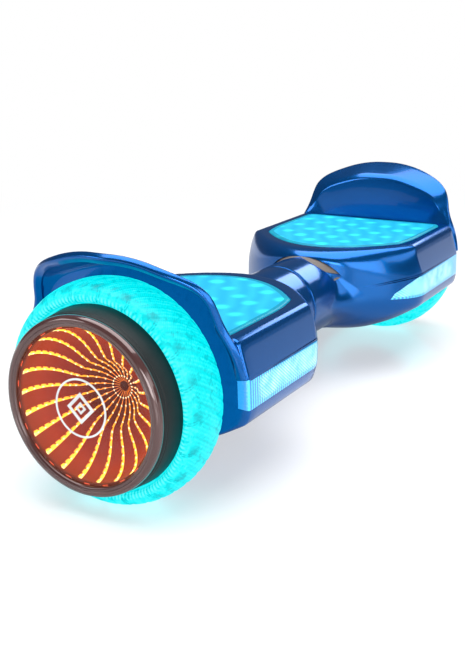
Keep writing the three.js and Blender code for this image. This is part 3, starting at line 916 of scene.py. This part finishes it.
CREASE = [(0, 92), (25, 94.9), (42, 100.3), (62, 95.6), (66, 96.4), (82, 95)]
LIP = [(0, 103), (14, 104.5), (27, 106.5), (35, 109), (41, 110.4), (47.5, 107.9), (52, 102.3)]
LIP += [(58.7, 98.6), (65, 98.9), (82, 97.5)]
LIP_X = [(0, 268), (27, 262), (43, 250), (56, 243), (64, 240), (82, 234.5)]


def fender_ring(angle):
    off = abs(angle - 90)
    x0 = WALL_X + 0.2
    crease = soft_through(CREASE, off, 4.0)
    lip = soft_through(LIP, off, 3.5)
    lip_x = soft_through(LIP_X, off, 4.0)
    foot = min(38.0 / math.cos(math.radians(off)), lip - 13)
    under = max(88.5, lip - 8.5)
    wide = 1 - smooth((off - 50) / 14)
    width = lip_x - x0
    root = max(under, crease - 6)

    def wall(most, share):
        return x0 + min(most, width * share)

    corners = [
        (x0, foot, 0.3), (x0 + 3 * wide, crease - 4, 2.0), (x0 + 6 * wide, crease, 3.0),
        (x0 + 0.6 * width, (crease + lip) / 2 + 1, 6.0), (lip_x - min(3.0, width * 0.4), lip, 1.6),
        (lip_x, lip - 3, 1.2), (lip_x - min(0.3, width * 0.05), under + 3.6, 0.9),
        (lip_x - min(4.2, width * 0.4), under, 0.8), (lip_x - min(6.0, width * 0.5), under + 0.6, 0.5),
        (wall(2.6 + 6 * wide, 0.5), min(root, crease - 1.5) + 0.4, 2.0),
        (wall(1.2 + 3 * wide, 0.4), max(foot + 1, min(root - 4, crease - 5)), 1.0),
        (wall(1.4, 0.35), foot, 0.3),
    ]
    return [about_axle(x, r, angle) for x, r in rounded(corners, 4)]


def make_fender(tag, side):
    rows = [fender_ring(10 + k * 160 / 128) for k in range(129)]
    wing = new_piece("fender_wing" + tag, [p for r in rows for p in r], tube(rows), side)
    face_outwards(wing)
    finish_piece(wing, "fender" + tag, BLUE, 42.0)
    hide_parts("fender" + tag)


PAD_CENTRE = (154.0, 0.0)
PAD_LOOPS = 30
PAD_SINK = 0.35
PAD_EDGE_R = 1.4
PAD_EDGE_DROP = 0.9


def pad_height(x, y, near):
    """Height over the pad's inset face; near is the distance to the pad's outline."""
    ripple = 0.14 * math.sin((x * 0.9 + y * 0.42) / 5.2 + 1.6 * math.sin(y / 17))
    drop = PAD_EDGE_DROP * (1 - math.sqrt(1 - (1 - clamp(near / PAD_EDGE_R)) ** 2))
    height = pad_high[2] - PAD_SINK + ripple * smooth((near - 5) / 4) - drop
    return height + PAD_SINK * (1 - smooth((near - 4.6) / 0.8))


def make_pad(tag, side):
    outline = pad_outline(0.0)
    points = []
    edges = []
    loops = []
    for k in range(1, PAD_LOOPS + 1):
        share = 1 - (1 - k / PAD_LOOPS) ** 1.35
        loops.append(range(len(points), len(points) + len(outline)))
        for x, y in outline:
            px, py = mix(PAD_CENTRE[0], x, share), mix(PAD_CENTRE[1], y, share)
            near = min(math.hypot(px - ax, py - ay) for ax, ay in outline)
            points.append((px, py, pad_height(px, py, near)))
            edges.append(near)
    loops.append(range(len(points), len(points) + len(outline)))
    points += [(x, y, pad_low[2]) for x, y in outline]
    edges += [0.0] * len(outline)
    count = len(outline)
    faces = []
    for inner, outer in zip(loops, loops[1:]):
        for i in range(count):
            j = (i + 1) % count
            faces.append((inner[i], outer[i], outer[j], inner[j]))
    points.append((*PAD_CENTRE, pad_high[2] - PAD_SINK))
    edges.append(60.0)
    for i in range(count):
        faces.append((len(points) - 1, loops[0][i], loops[0][(i + 1) % count]))
    faces.append(tuple(loops[-1]))
    pad = new_piece("foot_pad_lit" + tag, points, faces, side, {"edge": edges})
    face_outwards(pad)
    finish_piece(pad, "foot_pad" + tag, PAD, 50.0)
    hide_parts("foot_pad" + tag)


# ---- wheels
TYRE_PROFILE = [
    (267.9, 62.3, 0.3), (270.2, 69.2, 0.8), (273.6, 69.6, 0.8), (276.4, 71.6, 1.2), (277.2, 75.0, 2.0),
    (273.5, 80.2, 2.6), (266.5, 83.0, 3.0), (260.5, 84.0, 3.0), (251.5, 84.0, 3.0), (246.0, 83.2, 3.0),
    (238.5, 81.0, 3.0), (235.6, 74.0, 3.0), (236.5, 62.3, 0.3),
]
BLOCKS = 20


def tyre_marks(x, r, angle):
    """Groove depth and glow of the tyre at a point: both 0 to 1."""
    block = (angle / 360.0 * BLOCKS) % 1.0
    outer = x > 256
    groove = 0.0
    glow = 0.83
    if outer and r < 80.6:
        # a pair of curved lines between the scallop blocks
        bend = 0.16 * math.sin(math.pi * clamp((r - 69.5) / 14))
        for shift in (0.0, 0.07):
            gap = abs(((block - bend - shift + 0.5) % 1.0) - 0.5)
            if r > 70.5:
                line = smooth(1 - gap / 0.022) * smooth((r - 70.5) / 2)
                groove = max(groove, line)
                glow -= 0.26 * line
        # fine ribs near the bead
        ribs = 0.5 + 0.5 * math.sin(math.radians(angle) * 150)
        near_bead = smooth((76.5 - r) / 3) * smooth((r - 70.0) / 0.8)
        glow += (0.30 * ribs - 0.08) * near_bead
        # the double line at the bead
        for line_r in (70.3, 71.6):
            glow -= 0.14 * smooth(1 - abs(r - line_r) / 0.45)
        # small dots in the middle of a block
        for dot_r in (74.6, 76.4, 78.0, 79.2):
            along = (abs(block - 0.55) / BLOCKS) * 2 * math.pi * r
            dot = smooth(1.4 - math.hypot(along, r - dot_r) / 0.45)
            glow -= 0.22 * dot
            groove = max(groove, dot * 0.5)
    shoulder = smooth((r - 79.4) / 1.8)
    if shoulder > 0:
        wave = math.sin(math.radians(angle) * BLOCKS * 2 + x * 0.35)
        speckle = math.sin(math.radians(angle) * 197 + x * 3.1) * math.sin(x * 1.9 + angle * 0.7)
        tread = smooth((wave - 0.55) * 3)
        groove = max(groove, 0.6 * tread * shoulder)
        glow -= shoulder * (0.04 + 0.06 * tread + 0.09 * speckle)
    scallop = smooth((r - 77.5) / 2.0) * smooth((82.6 - r) / 1.0) if outer else 0.0
    glow -= 0.22 * scallop * smooth(abs(block - 0.5) * 2.6 - 0.55)
    return groove, clamp(glow)


def make_tyre(tag, side):
    segments = 600
    profile = filled_in(rounded(TYRE_PROFILE, 4, closed=False), 1.1, closed=False)
    points, glows = [], []
    for s in range(segments):
        angle = 360.0 * s / segments
        for x, r in profile:
            groove, glow = tyre_marks(x, r, angle)
            points.append(about_axle(x, r - 0.7 * groove, angle))
            glows.append(glow)
    count = len(profile)
    faces = quads(segments, count, wrap_columns=True, wrap_rows=True)
    tyre = new_piece("tyre_lit" + tag, points, faces, side, {"glow": glows})
    face_outwards(tyre)
    finish_piece(tyre, "tyre" + tag, TYRE, 60.0)
    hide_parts("tyre" + tag)


HUB_PROFILE = [
    (240.4, 57.5, 0.2), (258.5, 57.5, 0.5), (258.5, 31.3, 0.5), (241.6, 31.3, 0.3), (241.6, 29.0, 0.3),
    (261.5, 29.0, 1.0), (261.5, 60.0, 0.5), (290.5, 60.0, 0.3), (290.5, 66.0, 0.5), (287.8, 66.6, 0.3),
    (287.5, 66.2, 0.2), (287.0, 66.7, 0.3), (270.7, 68.6, 0.8), (268.4, 61.9, 0.5), (240.4, 61.9, 0.2),
]
BEZEL_PROFILE = [
    (293.3, 57.7, 0.3), (295.2, 57.9, 0.3), (296.1, 58.6, 0.4), (296.6, 60.2, 0.5), (296.2, 60.5, 0.15),
    (296.2, 60.9, 0.15), (296.7, 61.2, 0.3), (296.6, 63.2, 0.6), (295.2, 65.4, 1.0), (292.6, 65.9, 0.6),
    (290.8, 65.8, 0.3), (290.8, 60.5, 0.3), (293.3, 60.5, 0.3),
]


def turned_piece(name, corners, steps, segments, side):
    profile = rounded(corners, steps)
    return face_outwards(lathe_piece(name, profile, segments, side))


BOWL_RIM_X = 293.0
BOWL_DEPTH = 50.0
BOWL_STEPS = 44


BOWL_LINE = [(0, 56.8), (4, 56.3), (8, 55.4), (11.5, 53.8), (15, 51.6), (18, 49.0), (21, 45.6)]
BOWL_LINE += [(23.5, 41.8), (26, 36.8), (27.6, 32.4), (28.9, 27.4), (32, 25.2), (36, 22.4)]
BOWL_LINE += [(40, 18.9), (44, 14.4), (49, 4.5), (50, 0.6)]


def bowl_radius(depth):
    return soft_through(BOWL_LINE, depth, 2.5)


def make_bowl(tag, side):
    depths = [BOWL_DEPTH * (k / BOWL_STEPS) for k in range(BOWL_STEPS + 1)]
    profile = [(BOWL_RIM_X - d, bowl_radius(d)) for d in depths]
    profile += [(BOWL_RIM_X - BOWL_DEPTH - 0.2, 0.3)]
    behind = [(BOWL_RIM_X - BOWL_DEPTH - 1.0, 0.3)]
    behind += [(BOWL_RIM_X - d - 0.5, bowl_radius(d) + 0.9) for d in reversed(depths[1:])]
    behind += [(292.2, 58.9), (BOWL_RIM_X, 58.9)]
    whole = profile + behind
    segments = 96
    marks = [clamp((BOWL_RIM_X - x) / BOWL_DEPTH) for x, _ in whole] * segments
    # the depth mark sets where the bowl's painted glow is bright or dark
    bowl = lathe_piece("cap_bowl" + tag, whole, segments, side, {"depth": marks})
    face_outwards(bowl)
    finish_piece(bowl, "cap_mirror" + tag, BOWL_PAINTED_GLOW, 50.0)
    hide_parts("cap_mirror" + tag)


# the painted lamp reflections that run down the mirror bowl
TRAILS, TRAIL_TURN, TRAIL_STEPS = 22, 7.0, 40
DASHES, DOTS = 13, 11


def depth_along(share):
    """The bowl's depth at a share of the way from its rim to its middle."""
    runs = lengths_along(BOWL_LINE)
    return at_length(BOWL_LINE, runs, runs[-1] * share)[0]


def strip(points, faces, heats, path, width, lift, heat):
    """A narrow raised ribbon along a path of (depth, angle) on the bowl."""
    base = len(points)
    rows = []
    for n, (depth, angle) in enumerate(path):
        x, r = BOWL_RIM_X - depth, bowl_radius(depth)
        share = n / (len(path) - 1)
        half = math.degrees(width(share) / 2 / max(r, 0.6))
        foot, crest = (x, r - 0.05), (x + lift * 0.4, r - lift)
        row = [about_axle(*foot, angle - half), about_axle(*crest, angle - half * 0.45)]
        row += [about_axle(*crest, angle + half * 0.45), about_axle(*foot, angle + half)]
        rows.append(row)
        heats += [heat(share)] * 4
    for row in rows:
        points += row
    faces += tube(rows, base)


def dot_width(share):
    return 1.35 - 1.0 * abs(share - 0.5)


def make_painted_reflection_trails(tag, side):
    """Painted reflections of the rim lamps that run down the mirror bowl: a bright strand, a dashed one
    and hot points.
    """
    lists = ([], [], [])
    for t in range(TRAILS):
        start = 360.0 * t / TRAILS

        def at(share):
            return depth_along(0.03 + 0.93 * share), start + TRAIL_TURN * share

        path = [at(k / TRAIL_STEPS) for k in range(TRAIL_STEPS + 1)]
        strip(*lists, path, lambda s: mix(2.7, 0.2, s**0.6), 0.35, lambda s: 0.90 - 0.62 * s**0.7)
        for d in range(DASHES):
            low = d / (DASHES + 2) + 0.01
            depth0, a0 = at(low)
            depth1, _ = at(low + 0.045)
            r = bowl_radius((depth0 + depth1) / 2)
            aside = math.degrees(1.7 * (1 - low) / max(r, 2.0))
            dash = [(mix(depth0, depth1, k / 2), a0 + aside) for k in range(3)]
            strip(*lists, dash, lambda _: mix(1.8, 0.5, low), 0.4, lambda _: 0.62 - 0.35 * low)
        for d in range(DOTS):
            low = (d + 0.6) / (DOTS + 0.5)
            depth0, a0 = at(low)
            dot = [(at(low + (k - 1) * 0.008 * (1.3 - low))[0], a0) for k in range(3)]
            strip(*lists, dot, dot_width, 0.75, lambda _: 1.0)
    points, faces, heats = lists
    trails = new_piece("cap_light_trails" + tag, points, faces, side, {"trail_heat": heats})
    finish_piece(trails, "cap_mirror" + tag, TRAIL_PAINTED_REFLECTION, 60.0)


DASH_STEP = 1.15
DASH_SECTION = [(293.1, 57.0), (293.1, 57.5), (293.45, 57.5), (293.45, 57.0)]


def make_rim_lamps(tag, side):
    """The ring of lamps inside the bezel: short dashes on a dark ring."""
    section = [(285.5, 58.55, 0.1), (290.3, 58.55, 0.1), (290.3, 59.3, 0.1), (285.5, 59.3, 0.1)]
    ring = turned_piece("cap_lamp_ring" + tag, section, 1, 72, side)
    finish_piece(ring, "cap_light_ring" + tag, BOARD, 40.0)
    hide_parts("cap_light_ring" + tag)
    points, faces = [], []
    for t in range(TRAILS):
        centre = 360.0 * (t + 0.5) / TRAILS
        rows = [[about_axle(x, r, centre + k * DASH_STEP) for x, r in DASH_SECTION] for k in range(-2, 3)]
        faces += tube(rows, len(points))
        points += [p for row in rows for p in row]
    dashes = face_outwards(new_piece("cap_rim_lamps" + tag, points, faces, side))
    finish_piece(dashes, "cap_light_ring" + tag, DASH, 40.0)


def flat_ring(points, faces, inner, outer, segments):
    """A flat ring on the clear face of the cap; four segments make a lozenge."""
    base = len(points)
    x0, x1 = EMBLEM_X
    for k in range(segments):
        a = 2 * math.pi * k / segments
        for x, r in ((x0, inner), (x1, inner), (x1, outer), (x0, outer)):
            points.append((x, r * math.cos(a), AXLE_Z + r * math.sin(a)))
    for a, b, c, d in quads(segments, 4, wrap_columns=True, wrap_rows=True):
        faces.append((base + a, base + b, base + c, base + d))


EMBLEM_X = (295.0, 295.5)
EMBLEM_RINGS = [(20.3, 21.7, 96), (8.4, 11.6, 4), (2.4, 4.6, 4)]
WINDOW_PROFILE = [(293.7, 0.2, 0.02), (295.2, 0.2, 0.02), (295.0, 40.0, 6.0)]
WINDOW_PROFILE += [(294.8, 57.1, 0.3), (293.6, 57.1, 0.2)]


def make_cap(tag, side):
    lens = turned_piece("cap_window" + tag, WINDOW_PROFILE, 3, 96, side)
    finish_piece(lens, "cap_lens" + tag, CLEAR, 50.0)
    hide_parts("cap_lens" + tag)
    points, faces = [], []
    for ring in EMBLEM_RINGS:
        flat_ring(points, faces, *ring)
    emblem = face_outwards(new_piece("cap_emblem" + tag, points, faces, side))
    finish_piece(emblem, "cap_lens" + tag, MARK, 40.0)


def make_wheel(tag, side):
    make_tyre(tag, side)
    hub = turned_piece("hub_band" + tag, HUB_PROFILE, 2, 128, side)
    finish_piece(hub, "motor_hub" + tag, HUB, 40.0)
    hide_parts("motor_hub" + tag)
    bezel = turned_piece("cap_bezel_ring" + tag, BEZEL_PROFILE, 3, 144, side)
    finish_piece(bezel, "cap_bezel" + tag, BEZEL, 50.0)
    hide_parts("cap_bezel" + tag)
    make_bowl(tag, side)
    make_painted_reflection_trails(tag, side)
    make_rim_lamps(tag, side)
    make_cap(tag, side)


# ---- rear fittings of the left half
SOCKET_FLOOR_Y, PIN_RING_R = 81.0, 2.7


def rear_turned(name, x, z, profile, steps, segments=48):
    """A body turned about a line along Y through (x, z), from (y, radius, size) corners."""
    outline = rounded(profile, steps)
    points = []
    for k in range(segments):
        a = 2 * math.pi * k / segments
        points += [(x + r * math.cos(a), y, z + r * math.sin(a)) for y, r in outline]
    faces = quads(segments, len(outline), wrap_columns=True, wrap_rows=True)
    return face_outwards(new_piece(name, points, faces))


def make_rear_fittings():
    low, high = span("charge_socket")
    x, z = middle_xz("charge_socket")
    back, front = high[1], low[1]
    barrel = [(front, 0.2, 0.1), (SOCKET_FLOOR_Y, 0.2, 0.1), (SOCKET_FLOOR_Y, 5.6, 0.3)]
    barrel += [(back, 5.6, 0.5), (back, 7.7, 0.4), (front, 7.7, 0.4)]
    socket = rear_turned("charge_socket_barrel", x, z, barrel, 2)
    finish_piece(socket, "charge_socket", PLASTIC)
    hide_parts("charge_socket")
    pin_line = [(80.5, 0.05, 0.01), (89.5, 0.05, 0.01), (89.5, 0.9, 0.4), (80.5, 0.9, 0.1)]
    for n in range(3):
        a = math.radians(90 + 120 * n)
        px, pz = x + PIN_RING_R * math.cos(a), z + PIN_RING_R * math.sin(a)
        pin = rear_turned(f"charge_pin_{n}", px, pz, pin_line, 2, 20)
        finish_piece(pin, "charge_socket", BRONZE)
    back, front = flap_high[1], flap_low[1]
    disc = [(front, 0.1, 0.05), (back - 0.5, 0.1, 0.05), (back - 0.5, 6.4, 0.3), (back, 6.9, 0.3)]
    disc += [(back, 9.2, 0.6), (back - 0.9, 9.8, 0.5), (front, 9.8, 0.3)]
    flap = rear_turned("port_flap_rubber", x, z, disc, 3, 64)
    finish_piece(flap, "port_flap", RUBBER)
    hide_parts("port_flap")
    low, high = span("power_button")
    x, z = middle_xz("power_button")
    back, front = high[1], low[1]
    dome = [(front, 0.1, 0.05), (back - 0.4, 0.1, 0.05), (back - 0.3, 3.0, 1.2), (back, 5.0, 0.8)]
    dome += [(back - 0.6, 6.1, 0.5), (front, 6.1, 0.3)]
    button = rear_turned("power_button_cap", x, z, dome, 3)
    finish_piece(button, "power_button", STEEL)
    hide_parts("power_button")


for side, tag in ((1, "_left"), (-1, "_right")):
    make_shells(tag, side)
    make_lens(tag, side)
    make_neck(tag, side)
    make_fender(tag, side)
    make_pad(tag, side)
    make_wheel(tag, side)
make_rear_fittings()

# ---- finishes of the CAD nodes kept
KEPT = {
    "pad_light_board": BOARD,
    "headlight_board": BOARD,
    "pad_switch": RUBBER,
    "chassis": ALLOY,
    "sensor_board": CIRCUIT,
    "main_board": CIRCUIT,
    "axle": STEEL,
    "stator": COPPER,
    "magnet_ring": STEEL,
    "hub_cover": HUB,
    "bearing_inner": STEEL,
    "bearing_outer": STEEL,
    "pivot_tube": STEEL,
    "pivot_bush": BRONZE,
    "retaining_ring": STEEL,
    "stop_pin": STEEL,
    "cross_harness": RUBBER,
    "battery_pack": BATTERY,
    "speaker": PLASTIC,
}
for node, obj in frame["nodes"].items():
    base = node.replace("_left", "").replace("_right", "")
    if base in KEPT:
        obj.data.materials.clear()
        obj.data.materials.append(KEPT[base])
        obj.data.shade_smooth()
        obj.data.set_sharp_from_angle(angle=math.radians(30))


# ---- floor and light
def make_floor():
    look = Look("studio_floor", Roughness=0.22, Specular_IOR_Level=0.5)
    place = look.node("TexCoord", out=3)
    far = look.node("VectorMath", {0: place}, out=1, operation="LENGTH")
    fade = look.remap(far, 0.5, 1.3, kind="SMOOTHSTEP")
    look.set(Base_Color=look.blend(look.noise(3.0), (0.56, 0.565, 0.57), (0.59, 0.595, 0.60)))
    seen = look.node("LightPath", out=0)
    lift = look.sums("MULTIPLY_ADD", seen, 0.36, 0.12)
    look.set(Emission_Color=(0.99, 0.99, 1.0), Emission_Strength=lift)
    white = look.node("Emission", {"Color": (1.0, 1.0, 1.0), "Strength": 1.0})
    both = look.node("MixShader", {0: fade, 1: look.shader.outputs[0], 2: white})
    look.tree.links.new(both, look.tree.nodes["Material Output"].inputs["Surface"])
    reach = 12.0 / MM
    corners = [(x * reach, y * reach, -0.05) for x, y in ((-1, -1), (1, -1), (1, 1), (-1, 1))]
    floor = new_piece("floor", corners, [(0, 1, 2, 3)])
    floor.data.materials.append(look.material)


LIGHTS = [
    ("overhead", (0.0, 0.0, 1.9), (0.0, 0.0, 0.0), (2.4, 2.4), 74.0),
    ("far_box", (1.9, -0.25, 1.15), (0.1, 0.0, 0.1), (1.0, 0.55), 8.5),
    ("end_box", (-1.9, -0.95, 0.33), (0.1, 0.0, 0.1), (0.9, 0.62), 13.0),
    ("corner_box", (-0.72, -1.45, 0.48), (0.07, -0.05, 0.1), (0.95, 0.85), 9.0),
    ("rear_box", (-1.5, 1.3, 0.8), (0.1, 0.0, 0.1), (0.8, 0.6), 7.0),
    ("front_box", (0.3, -2.0, 1.0), (0.1, 0.0, 0.1), (1.2, 0.6), 5.0),
]


def area_light(name, place, target, size, power):
    data = bpy.data.lights.new(name, "AREA")
    data.shape = "RECTANGLE"
    data.size, data.size_y = size
    data.energy = power
    light = bpy.data.objects.new(name, data)
    bpy.context.scene.collection.objects.link(light)
    light.location = place
    aim = Vector(target) - Vector(place)
    light.rotation_mode = "QUATERNION"
    light.rotation_quaternion = aim.to_track_quat("-Z", "Y")


SKY_COLOR, SKY_STRENGTH = (0.80, 0.86, 1.0, 1.0), 0.10


def make_world():
    world = bpy.data.worlds.new("studio")
    bpy.context.scene.world = world
    world.use_nodes = True
    tree = world.node_tree
    tree.nodes.clear()
    out = tree.nodes.new("ShaderNodeOutputWorld")
    seen, lit = (tree.nodes.new("ShaderNodeBackground") for _ in range(2))
    seen.inputs[0].default_value = (1.0, 1.0, 1.0, 1.0)
    lit.inputs[0].default_value = SKY_COLOR
    lit.inputs[1].default_value = SKY_STRENGTH
    path = tree.nodes.new("ShaderNodeLightPath")
    both = tree.nodes.new("ShaderNodeMixShader")
    tree.links.new(path.outputs["Is Camera Ray"], both.inputs[0])
    tree.links.new(lit.outputs[0], both.inputs[1])
    tree.links.new(seen.outputs[0], both.inputs[2])
    tree.links.new(both.outputs[0], out.inputs["Surface"])


def make_light():
    make_world()
    for light in LIGHTS:
        area_light(*light)
    scene = bpy.context.scene
    scene.view_settings.view_transform = "Standard"
    scene.view_settings.look = "None"


make_floor()
make_light()
